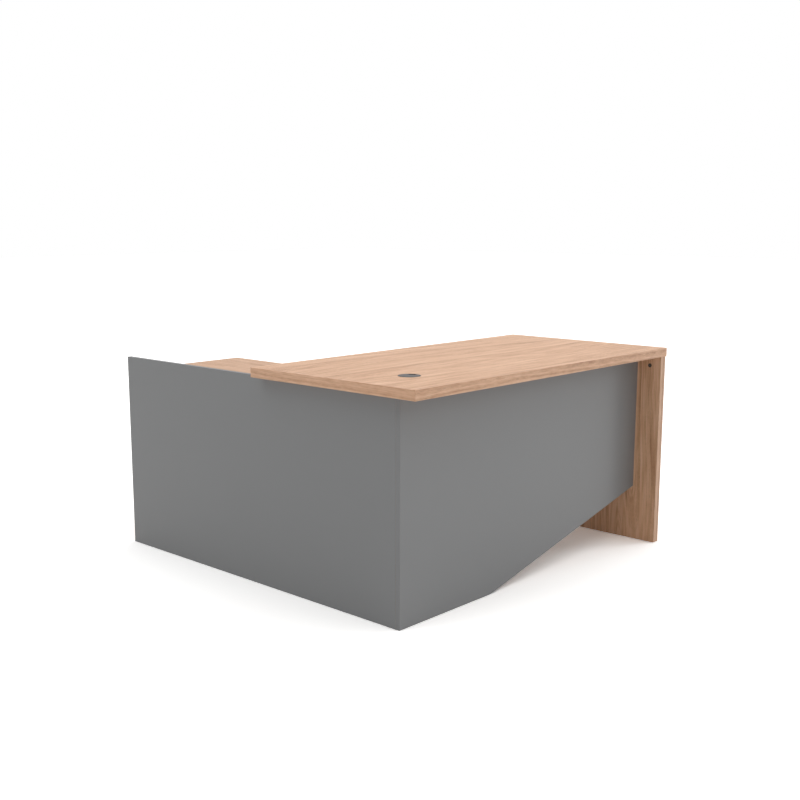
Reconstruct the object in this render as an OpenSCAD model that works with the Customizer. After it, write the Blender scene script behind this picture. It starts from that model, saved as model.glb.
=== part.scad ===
// L-shaped office desk: a wood-decor main top and end panel, a grey corner of two panels,
// and a lower return top on its own end panel. Boards meet with cam fittings and dowels.
// +Z is up, the visitor stands on the -Y side, the return runs away along +Y on the -X side.
// The origin is on the floor, under the middle of the desk's outer box. Millimetres.

/* [Main top] */
// Width of the main top, left to right
main_w = 1400; // [1200:10:1800]
// Depth of the main top, front to back
main_d = 700; // [600:10:900]
// Thickness of the wood-decor boards: both tops and both end panels
wood_t = 32; // [28:1:40]
// How far the main top reaches past the front panel, towards the visitor
overhang_front = 95; // [60:5:140]
// How far the main top reaches past the side panel
overhang_left = 42; // [20:1:80]
// How far the main top reaches past the end panel
overhang_right = 8; // [0:1:20]

/* [Grey panels] */
// Height of the grey panels and the end panel, floor to underside of the main top
panel_h = 703; // [680:1:730]
// Thickness of the grey boards
grey_t = 16; // [16:1:19]
// Length of the side panel with the front panel's edge, corner to far end
side_len = 1350; // [1100:10:1800]
// Distance along the floor from the corner to where the slanted cut starts
cut_start = 440; // [300:10:600]
// Height of the slanted cut where it meets the end panel
cut_rise = 205; // [120:5:300]

/* [Return] */
// Width of the return top
return_w = 500; // [400:10:600]
// Clear height between the return top and the underside of the main top
return_drop = 50; // [46:1:80]

/* [Edge bands] */
// Thickness of the wood-decor edge bands
wood_band = 2; // [1:0.5:3]
// Thickness of the grey edge bands
grey_band = 1; // [0.5:0.5:2]

/* [Cable grommet] */
// Distance of the grommet's centre from the left and front edges of the main top
grommet_inset = 203; // [150:1:300]
// Diameter of the hole in the main top
grommet_hole_d = 60; // [50:1:80]
// Width of the rim outside the hole
rim_w = 5; // [4:0.5:8]
// Thickness of the rim
rim_h = 2.4; // [2:0.1:3]
// How deep the rim is let into the top
rim_recess = 1.2; // [0.8:0.2:1.6]
// Gap between the rim and its recess
rim_gap = 0.6; // [0.4:0.1:1]
// Length of the sleeve below its rim
sleeve_len = 24; // [15:1:26]
// Wall of the sleeve
sleeve_wall = 1.8; // [1.5:0.1:3]
// Thickness of the cap's disc
cap_t = 1.6; // [1.2:0.1:1.8]
// Depth of the cap's skirt below its disc
skirt_len = 8; // [5:1:12]
// Wall of the cap's skirt
skirt_wall = 1.4; // [1:0.1:2]
// Width of the cable slot in the cap
slot_w = 26; // [16:1:30]
// Depth of the cable slot, from the edge of the cap inwards
slot_depth = 14; // [10:1:18]
// Direction of the slot, turned from +X towards +Y
slot_angle = 20; // [0:5:355]
// Running gap between the cap and its sleeve
cap_gap = 0.3; // [0.2:0.05:0.5]

/* [Cam fittings] */
// Diameter of a cam housing
cam_d = 15; // [12:1:18]
// Depth of a cam housing in its board
cam_depth = 12.5; // [11:0.5:13.5]
// Distance from a board's edge to the centre of its cam
cam_reach = 34; // [24:1:36]
// Depth of the bolt's axis below the face that carries the cam
axis_depth = 8; // [7.5:0.5:9]
// Diameter of the bolt's plain shank
shank_d = 7; // [6:0.5:7.5]
// Diameter of the bolt's thread
bolt_d = 6; // [5:0.5:7]
// Length of the bolt's thread in the mating board
bolt_len = 11; // [9:0.5:12]
// Diameter of a dowel
dowel_d = 8; // [6:0.5:8]
// Length of a dowel in the edge of its board
dowel_edge = 21; // [16:1:28]
// Length of a dowel in the face of the mating board
dowel_face = 11; // [8:0.5:12]
// Distance from the first and last cam of a row to the dowel beside it
dowel_step = 32; // [24:1:40]
// Distance from the end panel's edges to its first and last cam
end_cam_inset = 45; // [40:1:80]
// Distance from the ends of a long meeting line to its first and last cam
row_inset = 90; // [80:5:120]
// Width of the cross in a cam's face
cross_w = 1.8; // [1.2:0.1:2.4]
// Depth of that cross
cross_depth = 2; // [1:0.5:3]
// Diameter of the bolt's head
head_d = 6.6; // [5.5:0.1:7]
// Height of the bolt's head
head_h = 3.5; // [2.5:0.5:4.5]
// Diameter of the neck that the cam grips
neck_d = 4; // [3:0.5:4.5]
// Chamfer at the ends of a dowel
dowel_chamfer = 1.2; // [0.6:0.2:2]
// Room round the bolt in its bore
bolt_room = 0.5; // [0.3:0.1:0.6]
// Clearance all round a dowel, a bolt's thread and a cam housing
seat_gap = 0.1; // [0.05:0.05:0.2]

/* [Levelling feet] */
// Diameter of the feet's threaded studs
stud_d = 8; // [6:1:10]
// Running gap between a stud and its nut
stud_gap = 0.3; // [0.2:0.05:0.5]
// How far a foot can be screwed out
foot_travel = 12; // [8:1:15]
// Diameter of the pads below the grey panels' brackets
pad_d = 30; // [24:1:36]
// Height of those pads
pad_h = 7; // [5:1:9]
// Diameter of the pads let into the end panels
inset_pad_d = 22; // [18:1:24]
// Height of the pads let into the end panels
inset_pad_h = 5; // [4:0.5:7]
// Clearance between a pad and its pocket
pocket_gap = 1; // [0.5:0.5:1.5]
// Length of the threaded inserts in the end panels
insert_len = 18; // [14:1:24]
// Outer diameter of the threaded inserts
insert_d = 12; // [11.5:0.5:14]
// Width of a foot bracket along its panel
bracket_w = 44; // [40:1:60]
// Height of a foot bracket's upright leg
bracket_h = 40; // [36:1:60]
// Reach of a foot bracket from its panel
bracket_reach = 42; // [38:1:50]
// Distance from the side panel's ends to the middle of the nearest bracket
bracket_inset = 135; // [100:5:180]
// Thickness of the bracket's steel
bracket_t = 2.5; // [2:0.5:3]
// Height of the bracket's foot plate above the floor
bracket_lift = 14; // [13:1:18]
// Diameter of the bracket screws
screw_d = 4; // [3.5:0.5:5]
// Length of the bracket screws in the panel
screw_len = 12; // [9:1:13]
// Height of a bracket screw's head
screw_head_h = 2.4; // [1.8:0.2:3]
// Width of the cross in a bracket screw's head
screw_cross_w = 1; // [0.8:0.1:1.2]
// Height of the nut on a bracket
nut_h = 6.5; // [5:0.5:8]
// Height of the hexagon on a bracket foot's stud
flange_h = 3; // [2:0.5:4]
// Thickness of a pad below its stud
pad_floor = 2; // [1:0.5:2.5]
// Distance from a bracket pad's edge to the free edge of its bracket
pad_setback = 5; // [3:1:7]
// Width of the slot in the top of a stud
stud_slot_w = 1.2; // [0.8:0.2:2]
// Depth of that slot
stud_slot_depth = 2; // [1:0.5:3]
// Distance from a pad's pocket to the threaded insert above it
insert_setback = 2; // [1:0.5:4]
// Distance from an end panel's edges to its feet
foot_inset = 55; // [40:5:100]

/* [Hidden] */
$fn = 48;

wood = [0.80, 0.63, 0.50];
wood_dark = [0.72, 0.55, 0.42];
grey = [0.42, 0.42, 0.42];
grey_dark = [0.34, 0.34, 0.34];
black = [0.12, 0.12, 0.12];
zinc = [0.62, 0.64, 0.66];
beech = [0.87, 0.74, 0.56];

// outer box
total_len = overhang_front + side_len;
main_x0 = -main_w / 2;
main_x1 = main_w / 2;
main_y0 = -total_len / 2;
main_y1 = main_y0 + main_d;
far_y = total_len / 2;

// faces of the panels
side_out = main_x0 + overhang_left;
side_in = side_out + grey_t;
front_out = main_y0 + overhang_front;
front_in = front_out + grey_t;
end_out = main_x1 - overhang_right;
end_in = end_out - wood_t;

// return
return_z1 = panel_h - return_drop;
return_z0 = return_z1 - wood_t;
return_x1 = side_in + return_w;
return_end_in = far_y - wood_t;

// grommet
grommet_x = main_x0 + grommet_inset;
grommet_y = main_y0 + grommet_inset;
top_z = panel_h + wood_t;
sleeve_r = grommet_hole_d / 2 - seat_gap;
bore_r = sleeve_r - sleeve_wall;
seat_r = grommet_hole_d / 2 + rim_w * 0.3;
rim_z = top_z - rim_recess;
cap_z = rim_z + rim_h - cap_t;

// rows of cams: first and last point on the meeting line, count, turn of the local frame
// local frame: the bolt points along +Z into the mating board, the cam's face looks along +Y
row_end_top = [[end_in + axis_depth, main_y0 + end_cam_inset, panel_h],
    [end_in + axis_depth, main_y1 - end_cam_inset, panel_h], 3, [0, 0, 90]];
row_front_top = [[side_in + row_inset, front_in - axis_depth, panel_h],
    [end_in - row_inset, front_in - axis_depth, panel_h], 4, [0, 0, 0]];
row_front_end = [[end_in, front_in - axis_depth, cut_rise + row_inset],
    [end_in, front_in - axis_depth, panel_h - row_inset], 3, [0, 90, 0]];
row_side_top = [[side_in - axis_depth, front_in + row_inset, panel_h],
    [side_in - axis_depth, main_y1 - row_inset, panel_h], 3, [0, 0, -90]];
row_side_front = [[side_in - axis_depth, front_in, row_inset],
    [side_in - axis_depth, front_in, return_z0 - row_inset], 3, [0, 90, -90]];
row_return_side = [[side_in, front_in + 2 * row_inset, return_z0 + axis_depth],
    [side_in, return_end_in - row_inset, return_z0 + axis_depth], 4, [-90, 0, 90]];
row_return_front = [[side_in + 1.5 * row_inset, front_in, return_z0 + axis_depth],
    [return_x1 - row_inset, front_in, return_z0 + axis_depth], 2, [-90, 0, 180]];
row_rend_top = [[side_in + 1.5 * row_inset, return_end_in + axis_depth, return_z0],
    [return_x1 - row_inset, return_end_in + axis_depth, return_z0], 2, [0, 0, 180]];
row_rend_side = [[side_in, return_end_in + axis_depth, row_inset],
    [side_in, return_end_in + axis_depth, return_z0 - 1.5 * row_inset], 3, [0, 90, 180]];

// bracket feet: point on the panel's face at the floor, and the turn that brings +Y away from that face
side_near_foot = [[side_in, front_in + bracket_inset, 0], -90];
side_middle_foot = [[side_in, (front_in + return_end_in) / 2, 0], -90];
side_far_foot = [[side_in, return_end_in - bracket_inset, 0], -90];
front_foot = [[side_in + cut_start - 1.5 * bracket_w, front_in, 0], 0];
bracket_feet = [side_near_foot, side_middle_foot, side_far_foot, front_foot];
foot_out = bracket_reach - pad_d / 2 - pad_setback;

// inset feet: point on the floor under the middle of the board
end_near_foot = [(end_in + end_out) / 2, main_y0 + foot_inset, 0];
end_far_foot = [(end_in + end_out) / 2, main_y1 - foot_inset, 0];
return_left_foot = [side_in + foot_inset, (return_end_in + far_y) / 2, 0];
return_right_foot = [return_x1 - foot_inset, (return_end_in + far_y) / 2, 0];
end_feet = [end_near_foot, end_far_foot];
return_feet = [return_left_foot, return_right_foot];
pocket_h = inset_pad_h + pocket_gap;
insert_z = pocket_h + insert_setback;
inset_stud_top = insert_z + insert_len + foot_travel;

bolt_bore_d = max(shank_d, head_d) + 2 * bolt_room;
nut_af = stud_d * 1.625;
bracket_stud_top = bracket_lift + bracket_t + nut_h + foot_travel + stud_slot_depth;
eps = 0.01;

function span(row) = row[1] - row[0];
function spot(row, i) = row[0] + span(row) * i / (row[2] - 1);
function dowel_spots(row) = [row[0] + span(row) / norm(span(row)) * dowel_step,
    row[1] - span(row) / norm(span(row)) * dowel_step];

// puts its children at every cam of a row
module each_cam(row) {
    for (i = [0 : row[2] - 1]) translate(spot(row, i)) rotate(row[3]) children();
}

// puts its children at every dowel of a row
module each_dowel(row) {
    for (p = dowel_spots(row)) translate(p) rotate(row[3]) children();
}

// hexagonal bar across flats, standing on z = 0
module hex_bar(across, h) {
    cylinder(d = across / cos(30), h = h, $fn = 6);
}

// holes for one row: housing and bolt bore in one board, thread in the other, dowels in both
module row_holes(row) {
    each_cam(row) {
        translate([0, axis_depth + eps, -cam_reach]) rotate([90, 0, 0])
            cylinder(d = cam_d + 2 * seat_gap, h = cam_depth + seat_gap + eps);
        translate([0, 0, -cam_reach]) cylinder(d = bolt_bore_d, h = cam_reach + eps);
        translate([0, 0, -eps]) cylinder(d = bolt_d + 2 * seat_gap, h = bolt_len + 1);
    }
    each_dowel(row) translate([0, 0, -dowel_edge - 1])
        cylinder(d = dowel_d + 2 * seat_gap, h = dowel_edge + dowel_face + 1.5);
}

// cam housing with its bolt channel and the cross for the screwdriver
module cam() {
    difference() {
        translate([0, axis_depth, -cam_reach]) rotate([90, 0, 0]) cylinder(d = cam_d, h = cam_depth);
        translate([0, 0, -cam_reach - head_h / 2]) cylinder(d = bolt_bore_d, h = cam_d);
        for (turn = [0, 90]) translate([0, axis_depth, -cam_reach]) rotate([0, turn, 0])
            translate([-cam_d * 0.33, -cross_depth, -cross_w / 2])
                cube([cam_d * 0.66, cross_depth + 1, cross_w]);
    }
}

// bolt with its ball head in the cam, a plain shank in the edge and a thread in the mating board
module bolt() {
    translate([0, 0, -cam_reach]) cylinder(d = head_d, h = head_h);
    translate([0, 0, -cam_reach + head_h]) cylinder(d = neck_d, h = cam_d / 2 - head_h);
    translate([0, 0, -cam_reach + cam_d / 2]) cylinder(d = shank_d, h = cam_reach - cam_d / 2);
    cylinder(d = bolt_d, h = bolt_len);
}

// beech dowel with chamfered ends
module dowel() {
    c = dowel_chamfer;
    tip_d = dowel_d - 1.4 * c;
    translate([0, 0, -dowel_edge]) cylinder(d1 = tip_d, d2 = dowel_d, h = c, $fn = 32);
    translate([0, 0, -dowel_edge + c]) cylinder(d = dowel_d, h = dowel_edge + dowel_face - 2 * c, $fn = 32);
    translate([0, 0, dowel_face - c]) cylinder(d1 = dowel_d, d2 = tip_d, h = c, $fn = 32);
}

// box between two corners
module block(a, b) {
    translate(a) cube(b - a);
}

// pocket, insert bore and stud room for one inset foot
module inset_foot_holes(p) {
    translate(p - [0, 0, eps]) cylinder(d = inset_pad_d + 2 * pocket_gap, h = pocket_h + eps);
    translate(p) cylinder(d = insert_d + 2 * seat_gap, h = insert_z + insert_len);
    translate(p) cylinder(d = stud_d + 2, h = inset_stud_top + 2);
}

// screw holes of one bracket in the panel behind it
module bracket_pilots(foot) {
    translate(foot[0]) rotate([0, 0, foot[1]])
        for (s = [-1, 1]) translate([s * bracket_w * 0.3, eps, bracket_lift + bracket_h * 0.6])
            rotate([90, 0, 0]) cylinder(d = screw_d + 2 * seat_gap, h = screw_len + 0.5);
}

module main_top() {
    color(wood) difference() {
        block([main_x0 + wood_band, main_y0 + wood_band, panel_h],
            [main_x1 - wood_band, main_y1 - wood_band, top_z]);
        translate([grommet_x, grommet_y, panel_h - eps]) cylinder(d = grommet_hole_d, h = wood_t + 1);
        translate([grommet_x, grommet_y, rim_z])
            cylinder(r = grommet_hole_d / 2 + rim_w + rim_gap, h = rim_recess + 1);
        row_holes(row_end_top);
        row_holes(row_front_top);
        row_holes(row_side_top);
    }
}

// edge bands of the main top: the long ones run the full width, the short ones lie between them
module long_band(y) {
    color(wood_dark) block([main_x0, y, panel_h], [main_x1, y + wood_band, top_z]);
}

module short_band(x) {
    color(wood_dark)
        block([x, main_y0 + wood_band, panel_h], [x + wood_band, main_y1 - wood_band, top_z]);
}

module main_top_front_band() { long_band(main_y0); }
module main_top_back_band() { long_band(main_y1 - wood_band); }
module main_top_left_band() { short_band(main_x0); }
module main_top_right_band() { short_band(main_x1 - wood_band); }

module end_panel() {
    color(wood) difference() {
        block([end_in, main_y0 + wood_band, wood_band], [end_out, main_y1 - wood_band, panel_h]);
        row_holes(row_end_top);
        row_holes(row_front_end);
        for (p = end_feet) inset_foot_holes(p);
    }
}

module end_panel_edging() {
    color(wood_dark) {
        for (y = [main_y0, main_y1 - wood_band]) block([end_in, y, 0], [end_out, y + wood_band, panel_h]);
        difference() {
            block([end_in, main_y0 + wood_band, 0], [end_out, main_y1 - wood_band, wood_band]);
            for (p = end_feet) inset_foot_holes(p);
        }
    }
}

// outline of the front panel seen from the visitor's side, drawn in by a margin where it is banded
module front_outline(m) {
    slope = cut_rise / (end_in - side_out - cut_start);
    lift = m * sqrt(1 + slope * slope);
    polygon([[side_out + m, m], [side_out + cut_start + (m - lift) / slope, m],
        [end_in, cut_rise + lift], [end_in, panel_h], [side_out + m, panel_h]]);
}

module front_panel() {
    color(grey) difference() {
        translate([0, front_in, 0]) rotate([90, 0, 0]) linear_extrude(grey_t) front_outline(grey_band);
        row_holes(row_front_top);
        row_holes(row_front_end);
        row_holes(row_side_front);
        row_holes(row_return_front);
        bracket_pilots(front_foot);
    }
}

module front_panel_edging() {
    color(grey_dark) translate([0, front_in, 0]) rotate([90, 0, 0]) linear_extrude(grey_t) difference() {
        front_outline(0);
        front_outline(grey_band);
    }
}

module side_panel() {
    color(grey) difference() {
        block([side_out, front_in, grey_band], [side_in, far_y - grey_band, panel_h - grey_band]);
        row_holes(row_side_top);
        row_holes(row_side_front);
        row_holes(row_return_side);
        row_holes(row_rend_side);
        for (f = [side_near_foot, side_middle_foot, side_far_foot]) bracket_pilots(f);
    }
}

module side_panel_edging() {
    color(grey_dark) {
        block([side_out, far_y - grey_band, 0], [side_in, far_y, panel_h]);
        block([side_out, front_in, 0], [side_in, far_y - grey_band, grey_band]);
        difference() {
            block([side_out, front_in, panel_h - grey_band], [side_in, far_y - grey_band, panel_h]);
            row_holes(row_side_top);
        }
    }
}

module return_top() {
    color(wood) difference() {
        block([side_in, front_in, return_z0], [return_x1 - wood_band, far_y - wood_band, return_z1]);
        row_holes(row_return_side);
        row_holes(row_return_front);
        row_holes(row_rend_top);
    }
}

module return_top_edging() {
    color(wood_dark) {
        block([side_in, far_y - wood_band, return_z0], [return_x1, far_y, return_z1]);
        block([return_x1 - wood_band, front_in, return_z0], [return_x1, far_y - wood_band, return_z1]);
    }
}

module return_end_panel() {
    color(wood) difference() {
        block([side_in, return_end_in, wood_band], [return_x1 - wood_band, far_y, return_z0]);
        row_holes(row_rend_top);
        row_holes(row_rend_side);
        for (p = return_feet) inset_foot_holes(p);
    }
}

module return_end_edging() {
    color(wood_dark) {
        block([return_x1 - wood_band, return_end_in, 0], [return_x1, far_y, return_z0]);
        difference() {
            block([side_in, return_end_in, 0], [return_x1 - wood_band, far_y, wood_band]);
            for (p = return_feet) inset_foot_holes(p);
        }
    }
}

// sleeve in the top with a rim let into its surface and a ledge that carries the cap
module grommet_sleeve() {
    color(grey) translate([grommet_x, grommet_y, rim_z]) difference() {
        union() {
            cylinder(r = grommet_hole_d / 2 + rim_w, h = rim_h);
            translate([0, 0, -sleeve_len]) cylinder(r = sleeve_r, h = sleeve_len + eps);
        }
        translate([0, 0, -sleeve_len - 1]) cylinder(r = bore_r, h = sleeve_len + rim_h + 2);
        translate([0, 0, rim_h - cap_t - cap_gap / 2]) cylinder(r = seat_r, h = cap_t + 2);
    }
}

// cap: a disc in the rim's recess, a skirt in the sleeve and a slot for cables
module grommet_cap() {
    cap_r = seat_r - cap_gap;
    skirt_r = bore_r - cap_gap;
    color(grey_dark) translate([grommet_x, grommet_y, cap_z]) rotate([0, 0, slot_angle]) difference() {
        union() {
            cylinder(r = cap_r, h = cap_t);
            translate([0, 0, -skirt_len]) difference() {
                cylinder(r = skirt_r, h = skirt_len + eps);
                translate([0, 0, -1]) cylinder(r = skirt_r - skirt_wall, h = skirt_len + 1);
            }
        }
        translate([cap_r - slot_depth + 3, 0, -skirt_len - 1]) linear_extrude(skirt_len + cap_t + 2) union() {
            translate([0, -slot_w / 2]) square([slot_depth + 5, slot_w]);
            translate([-3, -slot_w / 2 + 3]) square([6, slot_w - 6]);
            for (s = [-1, 1]) translate([0, s * (slot_w / 2 - 3)]) circle(r = 3);
        }
    }
}

module end_panel_cams() { color(zinc) each_cam(row_end_top) cam(); }
module end_panel_bolts() { color(zinc) each_cam(row_end_top) bolt(); }
module end_panel_dowels() { color(beech) each_dowel(row_end_top) dowel(); }

module front_panel_cams() { color(zinc) for (r = [row_front_top, row_front_end]) each_cam(r) cam(); }
module front_panel_bolts() { color(zinc) for (r = [row_front_top, row_front_end]) each_cam(r) bolt(); }
module front_panel_dowels() { color(beech) for (r = [row_front_top, row_front_end]) each_dowel(r) dowel(); }

module side_panel_cams() { color(zinc) for (r = [row_side_top, row_side_front]) each_cam(r) cam(); }
module side_panel_bolts() { color(zinc) for (r = [row_side_top, row_side_front]) each_cam(r) bolt(); }
module side_panel_dowels() { color(beech) for (r = [row_side_top, row_side_front]) each_dowel(r) dowel(); }

module return_top_cams() { color(zinc) for (r = [row_return_side, row_return_front]) each_cam(r) cam(); }
module return_top_bolts() { color(zinc) for (r = [row_return_side, row_return_front]) each_cam(r) bolt(); }
module return_top_dowels() {
    color(beech) for (r = [row_return_side, row_return_front]) each_dowel(r) dowel();
}

module return_end_cams() { color(zinc) for (r = [row_rend_top, row_rend_side]) each_cam(r) cam(); }
module return_end_bolts() { color(zinc) for (r = [row_rend_top, row_rend_side]) each_cam(r) bolt(); }
module return_end_dowels() { color(beech) for (r = [row_rend_top, row_rend_side]) each_dowel(r) dowel(); }

// steel angle on the panel's inner face: an upright leg with two screw holes and a foot plate
module foot_bracket() {
    difference() {
        union() {
            translate([-bracket_w / 2, 0, bracket_lift]) cube([bracket_w, bracket_t, bracket_h]);
            translate([-bracket_w / 2, 0, bracket_lift]) cube([bracket_w, bracket_reach, bracket_t]);
        }
        translate([0, foot_out, bracket_lift - 1]) cylinder(r = stud_d / 2 + stud_gap, h = bracket_t + 2);
        for (s = [-1, 1]) translate([s * bracket_w * 0.3, bracket_t + 1, bracket_lift + bracket_h * 0.6])
            rotate([90, 0, 0]) cylinder(d = screw_d + 2 * seat_gap, h = bracket_t + 2);
    }
}

module foot_brackets() {
    color(zinc) for (f = bracket_feet) translate(f[0]) rotate([0, 0, f[1]]) foot_bracket();
}

// nuts welded on the brackets' foot plates
module foot_nuts() {
    color(zinc) for (f = bracket_feet) translate(f[0]) rotate([0, 0, f[1]])
        translate([0, foot_out, bracket_lift + bracket_t]) difference() {
            hex_bar(nut_af, nut_h);
            translate([0, 0, -1]) cylinder(r = stud_d / 2 + stud_gap, h = nut_h + 2);
        }
}

// pan-head screws that hold the brackets
module bracket_screws() {
    color(zinc) for (f = bracket_feet) translate(f[0]) rotate([0, 0, f[1]])
        for (s = [-1, 1]) translate([s * bracket_w * 0.3, bracket_t, bracket_lift + bracket_h * 0.6])
            rotate([90, 0, 0]) difference() {
                union() {
                    cylinder(d = screw_d, h = bracket_t + screw_len);
                    translate([0, 0, -screw_head_h]) cylinder(d = screw_d * 2, h = screw_head_h);
                }
                for (turn = [0, 90]) rotate([0, 0, turn])
                    translate([-screw_d * 0.7, -screw_cross_w / 2, -screw_head_h - eps])
                        cube([screw_d * 1.4, screw_cross_w, screw_head_h * 0.6]);
            }
}

// threaded inserts in the bottom edges of the end panels
module foot_inserts() {
    color(zinc) for (p = concat(end_feet, return_feet)) translate(p + [0, 0, insert_z]) difference() {
        cylinder(d = insert_d, h = insert_len);
        translate([0, 0, -1]) cylinder(r = stud_d / 2 + stud_gap, h = insert_len + 2);
    }
}

// pad of a bracket foot, with the seat of its stud
module bracket_pad(foot) {
    color(black) translate(foot[0]) rotate([0, 0, foot[1]]) translate([0, foot_out, 0]) difference() {
        union() {
            cylinder(d = pad_d, h = pad_h * 0.6);
            translate([0, 0, pad_h * 0.6]) cylinder(d1 = pad_d, d2 = pad_d * 0.7, h = pad_h * 0.4, $fn = 64);
        }
        translate([0, 0, pad_floor]) cylinder(d = stud_d + 2 * seat_gap, h = pad_h);
    }
}

// stud of a bracket foot with its hexagon and the slot in its top
module bracket_stud(foot) {
    color(zinc) translate(foot[0]) rotate([0, 0, foot[1]]) translate([0, foot_out, 0]) difference() {
        union() {
            translate([0, 0, pad_floor]) cylinder(d = stud_d, h = bracket_stud_top - pad_floor);
            translate([0, 0, pad_h]) hex_bar(nut_af, flange_h);
        }
        translate([-stud_d, -stud_slot_w / 2, bracket_stud_top - stud_slot_depth])
            cube([2 * stud_d, stud_slot_w, stud_slot_depth + 1]);
    }
}

// pad let into the bottom edge of an end panel, with two flats for a spanner
module inset_pad(p) {
    color(black) translate(p) difference() {
        intersection() {
            cylinder(d = inset_pad_d, h = inset_pad_h);
            translate([-inset_pad_d, -inset_pad_d * 0.43, -1]) cube([2 * inset_pad_d, inset_pad_d * 0.86, 20]);
        }
        translate([0, 0, pad_floor]) cylinder(d = stud_d + 2 * seat_gap, h = inset_pad_h);
    }
}

// stud of an inset foot
module inset_stud(p) {
    color(zinc) translate(p + [0, 0, pad_floor]) cylinder(d = stud_d, h = inset_stud_top - pad_floor);
}

module side_near_pad() { bracket_pad(side_near_foot); }
module side_near_stud() { bracket_stud(side_near_foot); }
module side_middle_pad() { bracket_pad(side_middle_foot); }
module side_middle_stud() { bracket_stud(side_middle_foot); }
module side_far_pad() { bracket_pad(side_far_foot); }
module side_far_stud() { bracket_stud(side_far_foot); }
module front_pad() { bracket_pad(front_foot); }
module front_stud() { bracket_stud(front_foot); }
module end_near_pad() { inset_pad(end_near_foot); }
module end_near_stud() { inset_stud(end_near_foot); }
module end_far_pad() { inset_pad(end_far_foot); }
module end_far_stud() { inset_stud(end_far_foot); }
module return_left_pad() { inset_pad(return_left_foot); }
module return_left_stud() { inset_stud(return_left_foot); }
module return_right_pad() { inset_pad(return_right_foot); }
module return_right_stud() { inset_stud(return_right_foot); }

main_top();
main_top_front_band();
main_top_back_band();
main_top_left_band();
main_top_right_band();
end_panel();
end_panel_edging();
front_panel();
front_panel_edging();
side_panel();
side_panel_edging();
return_top();
return_top_edging();
return_end_panel();
return_end_edging();
grommet_sleeve();
grommet_cap();
end_panel_cams();
end_panel_bolts();
end_panel_dowels();
front_panel_cams();
front_panel_bolts();
front_panel_dowels();
side_panel_cams();
side_panel_bolts();
side_panel_dowels();
return_top_cams();
return_top_bolts();
return_top_dowels();
return_end_cams();
return_end_bolts();
return_end_dowels();
foot_brackets();
foot_nuts();
bracket_screws();
foot_inserts();
side_near_pad();
side_near_stud();
side_middle_pad();
side_middle_stud();
side_far_pad();
side_far_stud();
front_pad();
front_stud();
end_near_pad();
end_near_stud();
end_far_pad();
end_far_stud();
return_left_pad();
return_left_stud();
return_right_pad();
return_right_stud();
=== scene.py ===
# %% [markdown]
# # An l-shaped office desk, piece by piece
# The desk is flat-pack furniture: boards, thin edge bands glued on their edges, and small metal fittings.
# Each of those is a separate piece here too, built round a frame that already holds the true sizes.
# Everything is in metres, the visitor stands on the -Y side, and the return runs away along +Y.

# %% The frame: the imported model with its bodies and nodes
import math

import bmesh
import bpy
from mathutils import Matrix, Vector


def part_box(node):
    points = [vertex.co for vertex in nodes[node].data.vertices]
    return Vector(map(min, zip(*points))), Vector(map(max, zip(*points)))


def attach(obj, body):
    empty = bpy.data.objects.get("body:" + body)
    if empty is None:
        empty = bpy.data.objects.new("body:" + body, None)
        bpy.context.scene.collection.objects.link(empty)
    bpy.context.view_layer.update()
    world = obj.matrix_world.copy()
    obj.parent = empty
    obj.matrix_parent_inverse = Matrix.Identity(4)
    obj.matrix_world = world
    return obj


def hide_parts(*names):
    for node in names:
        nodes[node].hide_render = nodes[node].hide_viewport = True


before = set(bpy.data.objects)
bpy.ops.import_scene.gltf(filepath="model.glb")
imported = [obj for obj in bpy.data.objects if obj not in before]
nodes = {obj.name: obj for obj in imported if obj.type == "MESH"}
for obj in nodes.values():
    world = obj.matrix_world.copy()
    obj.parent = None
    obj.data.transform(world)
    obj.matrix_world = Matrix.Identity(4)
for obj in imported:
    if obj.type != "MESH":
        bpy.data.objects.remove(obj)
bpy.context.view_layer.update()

MM = 0.001
scene = bpy.context.scene


def in_mm(lengths):
    """Lengths in millimetres, for printing."""
    return [round(x / MM, 1) for x in lengths]


# %% [markdown]
# ## Camera and light
# A product photograph is taken from a little above the work surface with a long lens. The camera's place
# came from matching the desk's straight edges, so it stays fixed and only the desk is worked on.

# %% Camera
def put(name, data):
    """New object in the scene."""
    made = bpy.data.objects.new(name, data)
    scene.collection.objects.link(made)
    return made


yaw, pitch = math.radians(47.039), math.radians(9.999)
lens = bpy.data.cameras.new("studio_camera")
lens.lens = 49.149
lens.sensor_width = 36
lens.shift_x = 0.0192
lens.shift_y = 0.0162
camera = put("studio_camera", lens)
camera.location = (-2.9325, -2.6861, 1.1956)
camera.rotation_euler = (math.radians(90) - pitch, 0, -yaw)
scene.camera = camera
print("camera", [round(x, 3) for x in camera.location], "lens", lens.lens)

# %% [markdown]
# A melamine desk has no strong highlights, so the light is a white room: a sky that is brightest overhead,
# and three lamps. Two are wide and high, at the right and at the left. The third is smaller and stands low
# at the front right, so the end panel throws a soft-edged shade on the front panel beside it. The
# background is white only for rays that come from the camera or from a gloss, so it adds no light.

# %% Helpers for shader nodes
def plug(tree, socket, value):
    """Links an output to a socket, or sets the socket's own value."""
    if isinstance(value, bpy.types.NodeSocket):
        tree.links.new(value, socket)
    else:
        socket.default_value = value


def add(tree, kind, sockets=None, **settings):
    """Adds a shader node with its settings and with values or links for its sockets; gives its outputs."""
    made = tree.nodes.new("ShaderNode" + kind)
    for name, value in settings.items():
        setattr(made, name, value)
    for name, value in (sockets or {}).items():
        plug(tree, made.inputs[name], value)
    return made.outputs


def calc(tree, operation, *values):
    """One step of arithmetic."""
    return add(tree, "Math", dict(enumerate(values)), operation=operation)[0]


def times(tree, one, two):
    """Product of two values."""
    return calc(tree, "MULTIPLY", one, two)


def plus(tree, one, two):
    """Sum of two values."""
    return calc(tree, "ADD", one, two)


def graded(tree, value, gain, base):
    """Value times a gain, on top of a base."""
    return calc(tree, "MULTIPLY_ADD", value, gain, base)


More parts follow.
